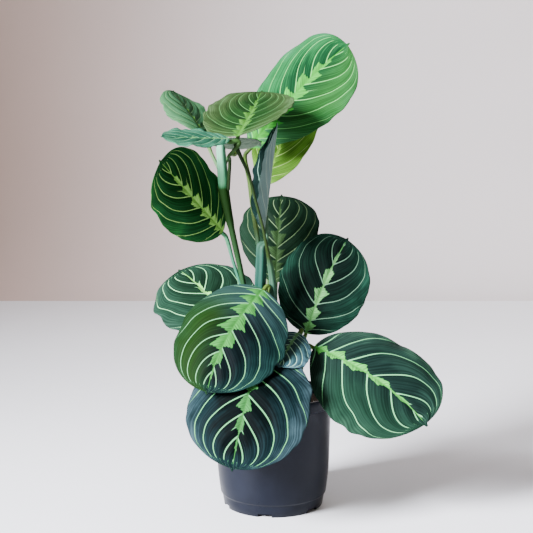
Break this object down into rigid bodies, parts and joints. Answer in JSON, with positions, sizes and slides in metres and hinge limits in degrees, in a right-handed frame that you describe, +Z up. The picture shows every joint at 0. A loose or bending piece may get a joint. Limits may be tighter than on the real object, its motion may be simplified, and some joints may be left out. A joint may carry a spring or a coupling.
{
  "type": "potted prayer plant",
  "caption": "Prayer plant with broad dark leaves, pale veins and a light feathered midrib, on slender petioles in a round nursery pot of soil.",
  "frame": {"origin": "middle of the pot's foot, on the surface that the pot stands on", "axes": "+Z up along the pot's axis, -Y towards the side that the picture shows, +X to its right"},
  "size_m": [0.2651, 0.2181, 0.4459],
  "materials": {
    "pot_plastic": "blue-black moulded nursery pot plastic, matt",
    "potting_soil": "damp peat potting soil",
    "stem_skin": "smooth dark green stem",
    "sheath_skin": "grooved grey-green leaf sheath",
    "petiole_skin": "thin olive green petiole",
    "leaf_blade": "satin leaf, dark green with pale veins and a light feather along the midrib"
  },
  "bodies": {
    "root": {"pot": "pot_plastic", "soil": "potting_soil", "stem_left": "stem_skin", "stem_centre": "stem_skin", "sheath_folded": "sheath_skin", "petiole_top_back": "petiole_skin", "petiole_crown": "petiole_skin", "petiole_upper_left": "petiole_skin", "petiole_level_left": "petiole_skin", "petiole_left": "petiole_skin", "petiole_level_back": "petiole_skin", "petiole_back": "petiole_skin", "petiole_right_back": "petiole_skin", "petiole_low_left": "petiole_skin", "petiole_front": "petiole_skin", "petiole_right": "petiole_skin", "petiole_bottom": "petiole_skin", "petiole_curled": "petiole_skin", "leaf_top": "leaf_blade", "leaf_top_back": "leaf_blade", "leaf_crown": "leaf_blade", "leaf_upper_left": "leaf_blade", "leaf_level_left": "leaf_blade", "leaf_level_back": "leaf_blade", "leaf_left": "leaf_blade", "leaf_folded": "leaf_blade", "leaf_back": "leaf_blade", "leaf_right_back": "leaf_blade", "leaf_low_left": "leaf_blade", "leaf_front": "leaf_blade", "leaf_right": "leaf_blade", "leaf_bottom": "leaf_blade", "leaf_curled": "leaf_blade"}
  },
  "joints": []
}
